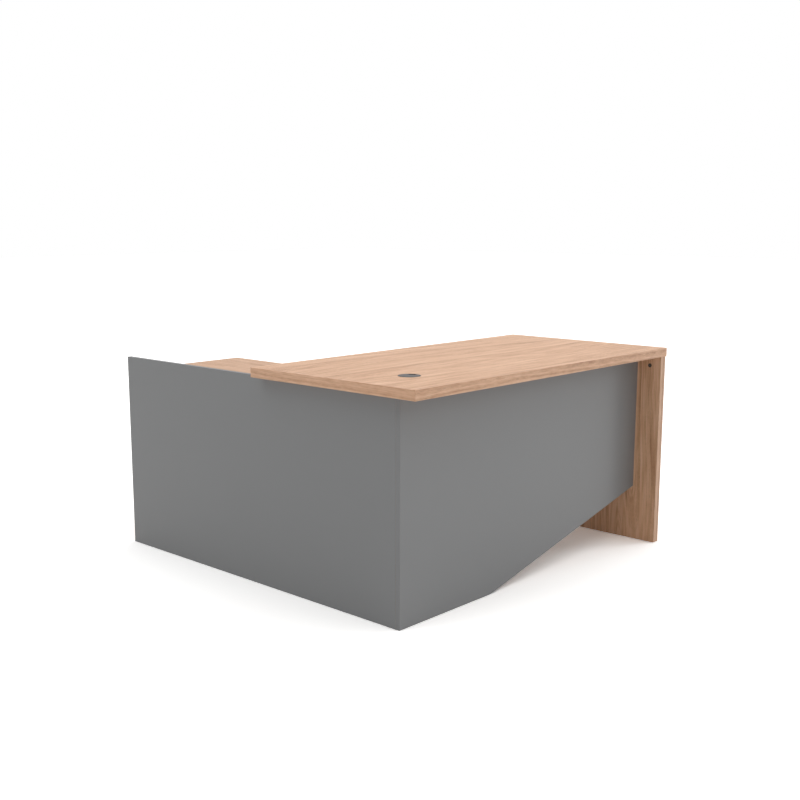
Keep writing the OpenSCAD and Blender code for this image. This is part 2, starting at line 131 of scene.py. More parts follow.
def lit_or_seen(tree, lit, seen):
    """One shader for the light that falls on things, and another where a camera, gloss or glass sees it."""
    rays = add(tree, "LightPath")
    straight = calc(tree, "MAXIMUM", rays["Is Camera Ray"], rays["Is Glossy Ray"])
    straight = calc(tree, "MAXIMUM", straight, rays["Is Transmission Ray"])
    return add(tree, "MixShader", {0: straight, 1: lit[0], 2: seen[0]})[0]


# %% Sky
SKY_STRENGTH = 1.15
SKY_TINT = (1.0, 0.995, 0.985, 1)
world = bpy.data.worlds.new("white_room")
scene.world = world
world.use_nodes = True
tree = world.node_tree
tree.nodes.clear()
height = add(tree, "SeparateXYZ", {0: add(tree, "TexCoord")["Generated"]})[2]
overhead = times(tree, calc(tree, "MAXIMUM", height, 0.0), SKY_STRENGTH)
sky = add(tree, "Background", {"Color": SKY_TINT, "Strength": overhead})
backdrop = add(tree, "Background", {"Color": (1, 1, 1, 1), "Strength": 1.0})
add(tree, "OutputWorld", {"Surface": lit_or_seen(tree, sky, backdrop)})
print("sky strength", SKY_STRENGTH)

# %% Lamps
LAMP_AWAY = 4


def lamp(name, toward, height, spread, strength):
    """Far lamp: the side it stands on and its height, both in degrees, and how wide and strong it is."""
    light = bpy.data.lights.new(name, "SUN")
    light.angle = math.radians(spread)
    light.energy = strength
    around, up = math.radians(toward), math.radians(height)
    place = Vector((math.sin(around) * math.cos(up), -math.cos(around) * math.cos(up), math.sin(up)))
    holder = put(name, light)
    holder.location = place * LAMP_AWAY
    holder.rotation_euler = (-place).to_track_quat("-Z", "Y").to_euler()


lamp("high_right_lamp", 60, 62, 50, 0.46)
lamp("low_right_lamp", 59, 17, 18, 0.62)
lamp("high_left_lamp", -120, 60, 40, 0.43)

# %% [markdown]
# The floor is plain white paper. It is lit and shadowed like any surface. A product picture shows such
# paper overexposed, white but for the shadow close to the thing, so where the camera sees it a second
# layer of white is added. The light that the paper throws back on the desk comes from one layer alone.

# %% Floor
FLOOR_SIZE = 60
PAPER_TONE = 0.8
LAYER_TONE = (0.7, 0.7, 0.7, 1)
paper = bpy.data.materials.new("white_paper")
paper.use_nodes = True
tree = paper.node_tree
tree.nodes.clear()
place = add(tree, "TexCoord")["Object"]
fibre = add(tree, "TexNoise", {"Vector": place, "Scale": 40.0, "Detail": 3.0})["Fac"]
tone = add(tree, "MapRange", {"Value": fibre, "To Min": PAPER_TONE - 0.01, "To Max": PAPER_TONE + 0.01})[0]
thrown = add(tree, "BsdfDiffuse", {"Color": tone})
under, over = [add(tree, "BsdfDiffuse", {"Color": LAYER_TONE})[0] for layer in range(2)]
shown = add(tree, "AddShader", {0: under, 1: over})
add(tree, "OutputMaterial", {"Surface": lit_or_seen(tree, thrown, shown)})


def as_mesh(bm, name):
    """Mesh from a bmesh, which is freed."""
    mesh = bpy.data.meshes.new(name)
    bm.to_mesh(mesh)
    bm.free()
    return mesh


bm = bmesh.new()
bmesh.ops.create_grid(bm, x_segments=4, y_segments=4, size=FLOOR_SIZE / 2)
mesh = as_mesh(bm, "floor")
mesh.materials.append(paper)
floor = put("floor", mesh)
floor.location.z = -0.2 * MM
print("floor", FLOOR_SIZE, "m wide")

# %% [markdown]
# ## Finishes
# The boards are chipboard with a printed melamine face. The print is a pinkish light walnut: long wavy
# growth lines that fade in and out, darker patches, and very short fine pores. Growth lines are lines of
# equal height on a slowly bending field, so one stretched noise added to the distance across the board
# gives both the straight lines and the long arches.

# %% Start and end of a finish
def start_finish(name):
    """New material: itself, its tree and the point on the desk that is being coloured."""
    finish = bpy.data.materials.new(name)
    finish.use_nodes = True
    return finish, finish.node_tree, add(finish.node_tree, "TexCoord")["Object"]


def end_finish(finish, colour, roughness, height, depth, **even):
    """Plugs the shader in, with a bump of a depth in metres and with values that are even all over."""
    tree = finish.node_tree
    shader = tree.nodes["Principled BSDF"]
    bump = add(tree, "Bump", {"Height": height, "Distance": depth, "Strength": 1.0})[0]
    for name, value in {"Base Color": colour, "Roughness": roughness, "Normal": bump, **even}.items():
        plug(tree, shader.inputs[name], value)
    return finish


def level(tone):
    """Colour from its three levels out of 255, as a colour card gives them."""
    return tuple((t / 255 / 12.92) if t <= 10 else ((t / 255 + 0.055) / 1.055) ** 2.4 for t in tone) + (1,)


print("colour card test:", [round(c, 3) for c in level((222, 186, 160))])

# %% Noise, ramps and shading
def stretched(tree, vector, scales, detail=2.0, rough=0.5):
    """Noise whose grains are as long as 1 / scale along each direction, in metres."""
    sized = add(tree, "VectorMath", {0: vector, 1: scales}, operation="MULTIPLY")[0]
    return add(tree, "TexNoise", {"Vector": sized, "Scale": 1.0, "Detail": detail, "Roughness": rough})["Fac"]


def speckle(tree, vector, scale, detail=2.0, rough=0.5):
    """Noise whose grains are as long every way."""
    return stretched(tree, vector, (scale,) * 3, detail, rough)


def spread(tree, value, low, high, to_low=0.0, to_high=1.0):
    """Maps the stretch from low to high onto another, with soft ends."""
    stretch = {0: value, 1: low, 2: high, 3: to_low, 4: to_high}
    return add(tree, "MapRange", stretch, interpolation_type="SMOOTHSTEP")[0]


def ramp(tree, value, stops):
    """Colour that runs through the stops: (place, colour levels)."""
    made = tree.nodes.new("ShaderNodeValToRGB")
    plug(tree, made.inputs[0], value)
    elements = made.color_ramp.elements
    while len(elements) < len(stops):
        elements.new(0.5)
    for element, (where, tone) in zip(elements, stops):
        element.position = where
        element.color = level(tone)
    return made.outputs[0]


def darker(tree, colour, amount):
    """Colour times a grey amount."""
    grey = add(tree, "CombineColor", {0: amount, 1: amount, 2: amount})[0]
    return add(tree, "Mix", {0: 1.0, 6: colour, 7: grey}, data_type="RGBA", blend_type="MULTIPLY")[2]


# %% Growth lines, patches and pores of the walnut print
def wavy(tree, grain):
    """The point moved a little across the board, so that straight lines wander."""
    wander = stretched(tree, grain, (2.6, 6.0, 5.0))
    shift = add(tree, "CombineXYZ", {1: graded(tree, wander, 0.024, -0.012)})[0]
    return add(tree, "VectorMath", {0: grain, 1: shift}, operation="ADD")[0]


def growth_lines(tree, point, rings, arch):
    """Noise in one dimension over a field that climbs across the board, over low hills."""
    across = add(tree, "SeparateXYZ", {0: point})[1]
    hills = stretched(tree, point, (0.5, 5.5, 3.0), detail=1.0)
    field = plus(tree, times(tree, across, rings), times(tree, hills, arch))
    return add(tree, "TexNoise", {"W": field, "Scale": 1.0, "Detail": 5.0, "Roughness": 0.72},
               noise_dimensions="1D")["Fac"]


def light_and_dark(tree, point, growth, patches):
    """The print's tone about zero: lines that fade in and out, and patches of three sizes."""
    long_way, wide_way, deep_way = patches
    fading = stretched(tree, point, (long_way * 0.7, wide_way * 0.4, deep_way * 0.4), detail=1.0)
    lines = times(tree, calc(tree, "SUBTRACT", growth, 0.5), spread(tree, fading, 0.3, 0.7, 0.4, 1.3))
    streaks = (long_way * 0.6, wide_way * 3.2, deep_way * 3.2)
    layers = [(stretched(tree, point, patches), 0.24),
              (stretched(tree, point, streaks, detail=3.0, rough=0.6), 0.24),
              (stretched(tree, point, (0.7, 7.0, 5.0)), 0.16)]
    figure = times(tree, lines, 0.52)
    for layer, weight in layers:
        figure = plus(tree, figure, graded(tree, layer, weight, -0.5 * weight))
    return figure


def fibre_and_pores(tree, point, growth):
    """Fine fibre, the pores, which are fewer in the pale wood, and the shade of both."""
    fibre = stretched(tree, point, (10.0, 900.0, 700.0))
    dash = spread(tree, stretched(tree, point, (18.0, 420.0, 380.0), detail=1.0), 0.52, 0.7)
    pore = spread(tree, stretched(tree, point, (60.0, 2300.0, 1900.0), detail=1.0), 0.56, 0.64)
    pore = times(tree, pore, graded(tree, spread(tree, growth, 0.58, 0.42), 0.8, 0.2))
    shade = plus(tree, graded(tree, fibre, 0.12, 0.95), times(tree, dash, -0.08))
    return fibre, pore, plus(tree, shade, times(tree, pore, -0.3))


# %% Walnut print as a node group
def walnut_print(name, stops, rings, arch, patches, boldness):
    """Group that turns a point, with the grain along X, into the print's colour, roughness and height."""
    group = bpy.data.node_groups.new(name, "ShaderNodeTree")
    for label, kind in (("Grain", "Vector"), ("Tone", "Float"), ("Figure", "Float")):
        group.interface.new_socket(label, in_out="INPUT", socket_type="NodeSocket" + kind)
    for label, kind in (("Colour", "Color"), ("Roughness", "Float"), ("Height", "Float")):
        group.interface.new_socket(label, in_out="OUTPUT", socket_type="NodeSocket" + kind)
    grain, tone, strength = group.nodes.new("NodeGroupInput").outputs[:3]
    result = group.nodes.new("NodeGroupOutput").inputs

    point = wavy(group, grain)
    growth = growth_lines(group, point, rings, arch)
    figure = light_and_dark(group, point, growth, patches)
    figure = times(group, figure, times(group, strength, boldness))
    colour = ramp(group, plus(group, figure, 0.5), stops)
    fibre, pore, shade = fibre_and_pores(group, point, growth)
    # Tone scales the whole colour: below 1 it is painted shade, above 1 it is painted light.
    plug(group, result["Colour"], darker(group, colour, times(group, shade, tone)))
    plug(group, result["Roughness"], graded(group, pore, 0.15, graded(group, fibre, 0.12, 0.42)))
    plug(group, result["Height"], calc(group, "SUBTRACT", times(group, fibre, 0.5), pore))
    return group


BOARD_TONES = [(0.0, (178, 130, 95)), (0.35, (202, 156, 120)), (0.6, (216, 171, 136)), (1.0, (227, 186, 154))]
BAND_TONES = [(0.0, (176, 127, 95)), (0.4, (203, 158, 125)), (0.7, (219, 176, 144)), (1.0, (230, 191, 160))]
board_print = walnut_print("walnut_board", BOARD_TONES, 26.0, 9.0, (7.0, 60.0, 50.0), 3.1)
band_print = walnut_print("walnut_band", BAND_TONES, 64.0, 4.5, (30.0, 110.0, 110.0), 2.7)
print("prints:", [g.name for g in bpy.data.node_groups])

# %% [markdown]
# A board is cut from the sheet with the grain along its length: along X on the main top, along Y on the
# return, upright on the end panels. The direction and the start in the print differ, and a little of the
# boldness, as from one batch to the next, so one function makes them all. Its tone scales the colour:
# below 1 it is painted shade, on the return top and the bands along X and upright, and the end panel's
# 1.02 is painted light. A band's grain always follows the band.

# %% Walnut finishes
def walnut(name, print_group, along, across, start, tone=1.0, figure=1.0):
    """Walnut print with its grain along one axis of the desk; start is the place in the print."""
    finish, tree, place = start_finish(name)
    axes = dict(zip("XYZ", add(tree, "SeparateXYZ", {0: place})))
    through = ({"X", "Y", "Z"} - {along, across}).pop()
    turned = add(tree, "CombineXYZ", {0: axes[along], 1: axes[across], 2: axes[through]})[0]
    moved = add(tree, "VectorMath", {0: turned, 1: start}, operation="ADD")[0]
    made = add(tree, "Group", {"Grain": moved, "Tone": tone, "Figure": figure}, node_tree=print_group)
    return end_finish(finish, made["Colour"], made["Roughness"], made["Height"], 0.03 * MM)


# tone below 1 is painted shade (return top, band along X, upright band); the end panel's 1.02 is painted
# light
walnut_main = walnut("walnut_main_top", board_print, "X", "Y", (3.1, 0.2, 0), figure=1.25)
walnut_return = walnut("walnut_return_top", board_print, "Y", "X", (7.7, 2.4, 5), tone=0.87, figure=1.25)
walnut_end = walnut("walnut_end_panel", board_print, "Z", "Y", (11.3, 4.9, 9), tone=1.02, figure=1.4)
walnut_return_end = walnut("walnut_return_end", board_print, "Z", "X", (15.9, 8.2, 2), figure=1.2)
band_along_x = walnut("walnut_band_along_x", band_print, "X", "Z", (13.7, 2.2, 6), tone=0.97)
band_along_y = walnut("walnut_band_along_y", band_print, "Y", "Z", (5.2, 6.1, 0), figure=0.85)
band_upright = walnut("walnut_band_upright", band_print, "Z", "X", (9.4, 1.8, 0), tone=0.81)
wood_bands = [band_along_x, band_along_y, band_upright]
print("walnut finishes:", [m.name for m in bpy.data.materials if m.name.startswith("walnut")])

# %% [markdown]
# The grey boards have a plain grey melamine face with a fine pearl texture that can be felt but hardly
# seen, so the colour is almost even and the work is done by a small bump. Under every face is chipboard:
# flat pale flakes, which cell noise gives. It shows only inside bores.

# %% Grey melamine, grey band and chipboard
def plain_face(name, tone, clouds, grain, rough, depth, **even):
    """One tone with soft clouds and a fine grain."""
    # clouds: scale, detail, gain and base; grain: its scale; rough: the grain's gain and the base
    finish, tree, place = start_finish(name)
    scale, detail, gain, base = clouds
    fine = speckle(tree, place, grain)
    shade = graded(tree, speckle(tree, place, scale, detail=detail), gain, base)
    shade = plus(tree, shade, times(tree, fine, 0.06))
    colour = ramp(tree, shade, [(0.0, (0, 0, 0)), (1.0, tone)])
    return end_finish(finish, colour, graded(tree, fine, *rough), fine, depth, **even)


def chipboard_face(name):
    """Bare chipboard: flakes of several browns with a rough surface."""
    finish, tree, place = start_finish(name)
    flakes = add(tree, "TexVoronoi", {"Vector": place, "Scale": 700.0})
    tone = add(tree, "SeparateColor", {0: flakes["Color"]})[0]
    colour = ramp(tree, tone, [(0.0, (140, 106, 72)), (1.0, (196, 163, 120))])
    return end_finish(finish, colour, graded(tree, tone, 0.15, 0.8), flakes["Distance"], 0.2 * MM)


PEARL = (3.0, 4.0, 0.03, 0.955)
grey_board = plain_face("grey_melamine", (124, 125, 126), PEARL, 1400.0, (0.16, 0.42), 0.03 * MM)
grey_band = plain_face("grey_edge_band", (122, 123, 124), PEARL, 900.0, (0.16, 0.42), 0.02 * MM)
chipboard = chipboard_face("chipboard")
print("grey finishes:", grey_board.name, grey_band.name)

# %% [markdown]
# The fittings have five more finishes: moulded plastic in grey and black, dull die-cast zinc, bright zinc
# plate and plain beech. The near-black plastic inside the grommet's sleeve is painted shade of the hole.
# Moulded plastic has a spark-eroded grain, cast zinc is blotchy, and plated steel has faint cloudy colours.
# Metal is all reflection, so its roughness matters more than its colour.

# %% Plastic, metal and beech
def moulded(name, tone, rough):
    """Moulded plastic with a fine eroded grain and little gloss."""
    eroded, little = (60.0, 3.0, 0.06, 0.92), {"Specular IOR Level": 0.3}
    return plain_face(name, tone, eroded, 2600.0, (0.2, rough), 0.02 * MM, **little)


def metal(name, dark, light, roughness, blotch, depth):
    """Zinc in two tones, blotched at a given number of spots to the metre."""
    finish, tree, place = start_finish(name)
    cloud = speckle(tree, place, blotch, detail=4.0, rough=0.6)
    fine = speckle(tree, place, 5200.0, detail=1.0)
    colour = ramp(tree, spread(tree, cloud, 0.3, 0.7), [(0.0, dark), (1.0, light)])
    mixed = plus(tree, times(tree, cloud, 0.6), times(tree, fine, 0.4))
    return end_finish(finish, colour, graded(tree, mixed, 0.3, roughness - 0.15), mixed, depth, Metallic=1.0)


def plain_beech(name):
    """Beech for dowels: pale, with fine brown flecks."""
    finish, tree, place = start_finish(name)
    fleck = spread(tree, speckle(tree, place, 900.0, detail=1.0), 0.55, 0.7)
    grain = speckle(tree, place, 260.0, detail=3.0)
    colour = ramp(tree, grain, [(0.3, (205, 170, 128)), (0.7, (224, 192, 152))])
    colour = darker(tree, colour, graded(tree, fleck, -0.25, 1.0))
    return end_finish(finish, colour, graded(tree, grain, 0.15, 0.55), grain, 0.05 * MM)


grommet_grey = moulded("grommet_grey", (96, 95, 95), 0.5)
# The sleeve's near-black is painted shade for the inside of the grommet's hole.
sleeve_painted_shade = moulded("sleeve_painted_shade", (26, 26, 27), 0.6)
glide_black = moulded("glide_black", (46, 46, 47), 0.35)
cast_zinc = metal("cast_zinc", (70, 66, 60), (112, 107, 100), 0.5, 500.0, 0.04 * MM)
zinc_plate = metal("zinc_plate", (186, 188, 190), (208, 207, 200), 0.32, 120.0, 0.01 * MM)
turned_zinc = metal("turned_zinc", (178, 180, 183), (204, 204, 199), 0.28, 400.0, 0.01 * MM)
beech = plain_beech("beech")
print("finishes in all:", len(bpy.data.materials))

# %% [markdown]
# ## Helpers for shapes
# Four kinds of making are enough for the whole desk: a block with rounded edges, an outline given a
# thickness, a stack of rings for anything turned, and a bore cut by a closed shape. Rounded edges are
# real geometry: without the thin light lines that they catch, a board looks like a box.

# %% Blocks, outlines and soft edges
def block(low, high):
    """Closed box between two corners."""
    low, high = Vector(low), Vector(high)
    bm = bmesh.new()
    bmesh.ops.create_cube(bm, size=1, matrix=Matrix.LocRotScale((low + high) / 2, None, high - low))
    return bm


def prism(outline, axis, low, high):
    """Solid from one level to another along an axis; the outline runs in the other two, in their order."""
    bm = bmesh.new()
    ends = [[bm.verts.new([(t, u, v), (u, t, v), (u, v, t)][axis]) for u, v in outline] for t in (low, high)]
    for ring in ends:
        bm.faces.new(ring)
    for i in range(len(outline)):
        bm.faces.new((ends[0][i - 1], ends[0][i], ends[1][i], ends[1][i - 1]))
    bmesh.ops.recalc_face_normals(bm, faces=bm.faces)
    return bm


SHARP = math.radians(40)


def soften(bm, radius, steps=3, where=None):
    """Rounds the sharp edges, or only those of them that where() accepts."""
    sharp = [edge for edge in bm.edges if len(edge.link_faces) == 2 and edge.calc_face_angle(0) > SHARP
             and (where is None or where(edge))]
    if sharp:
        bmesh.ops.bevel(bm, geom=sharp, offset=radius, offset_type="OFFSET", segments=steps, profile=0.5,
                        affect="EDGES", clamp_overlap=True)
    return bm


STRAIGHT = 0.02
HALF_EDGE = 0.49


def fillet(corners, steps=4):
    """Closed outline from corners (u, v, radius), each rounded by its own radius."""
    outline = []
    for i, (u, v, radius) in enumerate(corners):
        here = Vector((u, v))
        back = Vector(corners[i - 1][:2]) - here
        on = Vector(corners[(i + 1) % len(corners)][:2]) - here
        angle = back.angle(on)
        if radius <= 0 or math.pi - angle < STRAIGHT:
            outline.append(tuple(here))
            continue
        reach = min(radius / math.tan(angle / 2), HALF_EDGE * back.length, HALF_EDGE * on.length)
        centre = here + (back.normalized() + on.normalized()).normalized() * reach / math.cos(angle / 2)
        first = here + back.normalized() * reach - centre
        last = here + on.normalized() * reach - centre
        start = math.atan2(first.y, first.x)
        sweep = math.atan2(first.cross(last), first.dot(last))
        for k in range(steps + 1):
            a = start + sweep * k / steps
            outline.append((centre.x + first.length * math.cos(a), centre.y + first.length * math.sin(a)))
    return outline


test_square = fillet([(0, 0, 0.1), (1, 0, 0), (1, 1, 0), (0, 1, 0)])
print("a square with one round corner has", len(test_square), "points")

# %% [markdown]
# Turned pieces are rings stacked along Z. A ring's radius may be a number or a function of the angle, so
# the same stack also makes hexagons, flutes and real helical threads.

# %% Rings and threads
def stack(rings, segments=48, closed=False):
    """Solid skin over rings of (height, radius); closed joins the last ring to the first, for a tube."""
    bm = bmesh.new()
    made = []
    for height, radius in rings:
        ring = []
        for k in range(segments):
            a = 2 * math.pi * k / segments
            r = radius(a) if callable(radius) else radius
            ring.append(bm.verts.new((r * math.cos(a), r * math.sin(a), height)))
        made.append(ring)
    pairs = list(zip(made, made[1:]))
    if closed:
        pairs.append((made[-1], made[0]))
    else:
        bm.faces.new(made[0])
        bm.faces.new(made[-1])
    for one, two in pairs:
        for k in range(segments):
            bm.faces.new((one[k - 1], one[k], two[k], two[k - 1]))
    bmesh.ops.recalc_face_normals(bm, faces=bm.faces)
    return bm


def hexagon(across, limit):
    """Radius of a hexagon at an angle, cut back to a circle for its chamfer."""
    def radius(a):
        flat = (a + math.pi / 6) % (math.pi / 3) - math.pi / 6
        return min(across / 2 / math.cos(flat), limit)
    return radius


RINGS_PER_TURN = 6
RUN_OUT = 0.35
GROOVE_POWER = 0.8


def thread(radius, start, end, pitch, depth, point=0.0, sign=1):
    """Rings of a helical thread between two heights; sign -1 cuts it into a bore."""
    count = max(2, round((end - start) / pitch * RINGS_PER_TURN))
    rings = []
    for i in range(count + 1):
        height = start + (end - start) * i / count
        fade = min(1.0, (height - start) / pitch, (end - height) / pitch + RUN_OUT)
        taper = point * max(0.0, 1 - (end - height) / pitch)

        def wound(a, height=height, fade=fade, taper=taper):
            phase = (height / pitch - a / (2 * math.pi)) % 1.0
            groove = depth * fade * (1 - abs(2 * phase - 1)) ** GROOVE_POWER
            return radius - sign * groove - taper
        rings.append((height, wound))
    return rings


print("an M8 thread of 20 mm has", len(thread(4, 0, 20, 1.25, 0.6)), "rings")

# %% [markdown]
# Bores are cut with Blender's exact boolean, which keeps flat faces flat. The fittings repeat in rows, so
# one of each is drawn, in millimetres, and copied to the places that the frame gives.

# %% Cutting and copying
def as_object(bm, name):
    """Mesh object from a bmesh, with room for two finishes."""
    mesh = as_mesh(bm, name)
    mesh.materials.append(None)
    mesh.materials.append(None)
    return put(name, mesh)


def carve(bm, cutter, operation="DIFFERENCE"):
    """The first shape without the second, or joined with it."""
    body, tool = as_object(bm, "carved"), as_object(cutter, "cutter")
    cut = body.modifiers.new("cut", "BOOLEAN")
    cut.operation = operation
    cut.solver = "EXACT"
    cut.object = tool
    bpy.context.view_layer.update()
    result = bpy.data.meshes.new_from_object(body.evaluated_get(bpy.context.evaluated_depsgraph_get()))
    out = bmesh.new()
    out.from_mesh(result)
    for mesh in (result, body.data, tool.data):
        bpy.data.meshes.remove(mesh)
    return out


def joined(shapes):
    """Several shapes as one."""
    out = bmesh.new()
    for shape in shapes:
        mesh = as_mesh(shape, "part")
        out.from_mesh(mesh)
        bpy.data.meshes.remove(mesh)
    return out


def placed(bm, where):
    """Shape drawn in millimetres, in its place on the desk."""
    bm.transform(where @ Matrix.Scale(MM, 4))
    return bm


def copies(proto, frames):
    """Copies of one shape, drawn in millimetres, one in each frame."""
    out = joined([placed(proto.copy(), where) for where in frames])
    proto.free()
    return out


def rod(start, end, radius, segments=48):
    """Plain round bar between two points, used as a cutter."""
    start, end = Vector(start), Vector(end)
    span = end - start
    bm = stack([(0, radius), (span.length, radius)], segments)
    bm.transform(Matrix.LocRotScale(start, span.to_track_quat("Z", "Y"), None))
    return bm


# %% Finishing a piece
SMOOTH = math.radians(33)


def make_piece(name, bm, finishes, stands_for, body="desk", weighted=False):
    """Ends a piece: finishes, shading, the body that it rides on and the node that it stands for."""
    bmesh.ops.recalc_face_normals(bm, faces=bm.faces)
    mesh = as_mesh(bm, name)
    for finish in finishes:
        mesh.materials.append(finish)
    mesh.shade_smooth()
    mesh.set_sharp_from_angle(angle=SMOOTH)
    piece = put(name, mesh)
    if weighted:
        piece.modifiers.new("even_normals", "WEIGHTED_NORMAL").keep_sharp = True
    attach(piece, body)
    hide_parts(stands_for)
    print(name, "has", len(mesh.polygons), "faces")


# %% [markdown]
# ## Where the fittings sit
# The frame holds every cam, bolt and dowel as a solid of its own, several to a node. Splitting a node into
# its loose solids gives each one's place, so nothing has to be measured twice. A cam's own frame has Y out
# of the board's face and Z along its bolt.

# %% Places of cams, bolts and dowels
def box_of(points):
    """Lowest and highest corner of some points."""
    return Vector(map(min, zip(*points))), Vector(map(max, zip(*points)))


def solids(node):
    """Lowest and highest corner of each separate solid of a node."""
    mesh = nodes[node].data
    spot, home = {}, []
    for vertex in mesh.vertices:
        home.append(spot.setdefault(tuple(vertex.co), len(spot)))
    parent = list(range(len(spot)))

    def top(i):
        while parent[i] != i:
            parent[i] = parent[parent[i]]
            i = parent[i]
        return i

    for polygon in mesh.polygons:
        first, *rest = [home[v] for v in polygon.vertices]
        for other in rest:
            parent[top(other)] = top(first)
    groups = {}
    for vertex, i in zip(mesh.vertices, home):
        groups.setdefault(top(i), []).append(vertex.co)
    return sorted(map(box_of, groups.values()), key=lambda b: tuple(round(x, 4) for x in b[0]))


def long_axis(low, high):
    """Number of the axis along which a box is longest."""
    return max(range(3), key=lambda i: high[i] - low[i])


def cam_frames(cams, bolts):
    """One frame for each cam: Y out of the board, Z along the bolt, the origin where their axes cross."""
    frames, bolt_boxes = [], solids(bolts)
    for low, high in solids(cams):
        centre = (low + high) / 2
        bolt = min(bolt_boxes, key=lambda b: min((b[0] - centre).length, (b[1] - centre).length))
        middle = (bolt[0] + bolt[1]) / 2
        axis = long_axis(*bolt)
        z = Vector((0, 0, 0))
        z[axis] = math.copysign(1, middle[axis] - centre[axis])
        off = middle - centre
        off[axis] = 0
        y = -off.normalized()
        origin = middle.copy()
        origin[axis] = centre[axis]
        frames.append(Matrix.LocRotScale(origin, Matrix((y.cross(z), y, z)).transposed(), None))
    return frames


def bar_frames(node):
    """One frame for each bar-shaped solid: the origin in its middle and Z along it."""
    frames = []
    for low, high in solids(node):
        along = Vector((0, 0, 0))
        along[long_axis(low, high)] = 1
        frames.append(Matrix.LocRotScale((low + high) / 2, along.to_track_quat("Z", "Y"), None))
    return frames


ROWS = ["end_panel", "front_panel", "side_panel", "return_top", "return_end"]
cam_places = {row: cam_frames(row + "_cams", row + "_bolts") for row in ROWS}
dowel_places = {row: bar_frames(row + "_dowels") for row in ROWS}
print("cams:", {row: len(frames) for row, frames in cam_places.items()})

# %% [markdown]
# The bores follow from those places: a seat for each cam, a long bore for its bolt with a narrow end where
# the thread bites, and one bore for each dowel through both boards. Each kind is cut in a pass of its own,
# because the cutters of one kind never touch each other.

# %% Bores for the fittings
# sizes of the fittings in millimetres, as they are drawn
CAM_FACE = 8
CAM_DEPTH = 12.5
CAM_RADIUS = 7.5
CAM_REACH = 34
BOLT_THREAD = 11
THREAD_RADIUS = 3
BOLT_BORE = 4
DOWEL_RADIUS = 4
DOWEL_HALF = 16
ROOM = 0.1
FIT = ROOM * MM

# kind of bore: the fitting's places, its two ends in the fitting's frame, and its radius
SHAPES_OF_BORES = {
    "cam seats": (cam_places, (0, CAM_FACE + 1, 0), (0, CAM_FACE - CAM_DEPTH - ROOM, 0), CAM_RADIUS + ROOM),
    "bolt bores": (cam_places, (0, 0, 0), (0, 0, CAM_REACH), BOLT_BORE),
    "bolt threads": (cam_places, (0, 0, CAM_REACH - 1), (0, 0, CAM_REACH + BOLT_THREAD + 1),
                     THREAD_RADIUS + ROOM),
    "dowels": (dowel_places, (0, 0, -DOWEL_HALF - 0.5), (0, 0, DOWEL_HALF + 0.5), DOWEL_RADIUS + ROOM)}
FITTING_BORES = list(SHAPES_OF_BORES)

bores = {kind: [(where @ (Vector(start) * MM), where @ (Vector(end) * MM), radius * MM)
                for row in ROWS for where in places[row]]
         for kind, (places, start, end, radius) in SHAPES_OF_BORES.items()}
print({kind: len(group) for kind, group in bores.items()})

# %% Drilling a board
def upright(centre, start, end, radius, segments=48):
    """Bore along Z, from one height to another."""
    return (centre.x, centre.y, start), (centre.x, centre.y, end), radius, segments


def drill(bm, kinds):
    """Board with every bore of these kinds that reaches it."""
    for kind in kinds:
        low, high = box_of([v.co for v in bm.verts])
        near = [rod(start, end, radius, *rest) for start, end, radius, *rest in bores[kind]
                if all(max(start[i], end[i]) + radius > low[i] and min(start[i], end[i]) - radius < high[i]
                       for i in range(3))]
        if near:
            bm = carve(bm, joined(near))
    return bm


# %% Boards
SKIN = 0.2 * MM
TILT = 0.2
ARRIS = 0.15 * MM


def face_up(bm, axis):
    """Finish 0 on the two large faces with their rounded edges, and 1, bare chipboard, everywhere else."""
    low, high = (corner[axis] for corner in box_of([v.co for v in bm.verts]))
    for face in bm.faces:
        at = face.calc_center_median()[axis]
        outside = min(at - low, high - at) < SKIN
        face.material_index = 0 if outside and abs(face.normal[axis]) > TILT else 1
    return bm


def make_board(name, node, finish, axis, kinds, shape=None):
    """Board with a tiny arris and its bores, printed on the two faces that lie across an axis."""
    bm = block(*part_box(node)) if shape is None else shape
    bm = face_up(drill(soften(bm, ARRIS, 2), kinds), axis)
    make_piece(name, bm, [finish, chipboard], node, weighted=True)


# %% [markdown]
# ## The main top
# One board 32 mm thick, with 2 mm bands on all four edges. The bands are rounded by the machine that trims
# them, which gives the top its soft outline. The board itself keeps a tiny arris, so a hair line shows
# where print and band meet. The grommet's hole goes right through, with a shallow seat for its rim.

# %% Main top board
GROMMET_HOLE = 30 * MM
RIM_GAP = 0.6 * MM
RIM_RECESS = 1.2 * MM
PAST = 5 * MM
top_low, top_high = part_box("main_top")
rim_low, rim_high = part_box("grommet_sleeve")
grommet = (rim_low + rim_high) / 2
rim_z = top_high.z - RIM_RECESS
rim_seat = (rim_high.x - rim_low.x) / 2 + RIM_GAP
bores["grommet hole"] = [upright(grommet, top_low.z - PAST, rim_z + FIT, GROMMET_HOLE, 96)]
bores["rim seat"] = [upright(grommet, rim_z, top_high.z + PAST, rim_seat, 96)]
make_board("top_board", "main_top", walnut_main, 2, ["grommet hole", "rim seat"] + FITTING_BORES)
print("grommet centre, mm:", in_mm(grommet.xy))

# %% Main top bands
BAND_ROUND = 1.5 * MM
BAND_ARRIS = 0.1 * MM
LONG = 0.1


def top_band(name, node, finish, axis, glued, ends_show):
    """Straight band, rounded away from its glued side; the ends are rounded where they show."""
    def is_round(edge):
        one, two = (v.co for v in edge.verts)
        outer = abs(one[axis] - glued) > FIT and abs(two[axis] - glued) > FIT
        return outer and (ends_show or abs((one - two)[1 - axis]) > LONG)

    bm = soften(block(*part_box(node)), BAND_ROUND, 5, where=is_round)
    soften(bm, BAND_ARRIS, 1)
    make_piece(name, bm, [finish], node, weighted=True)


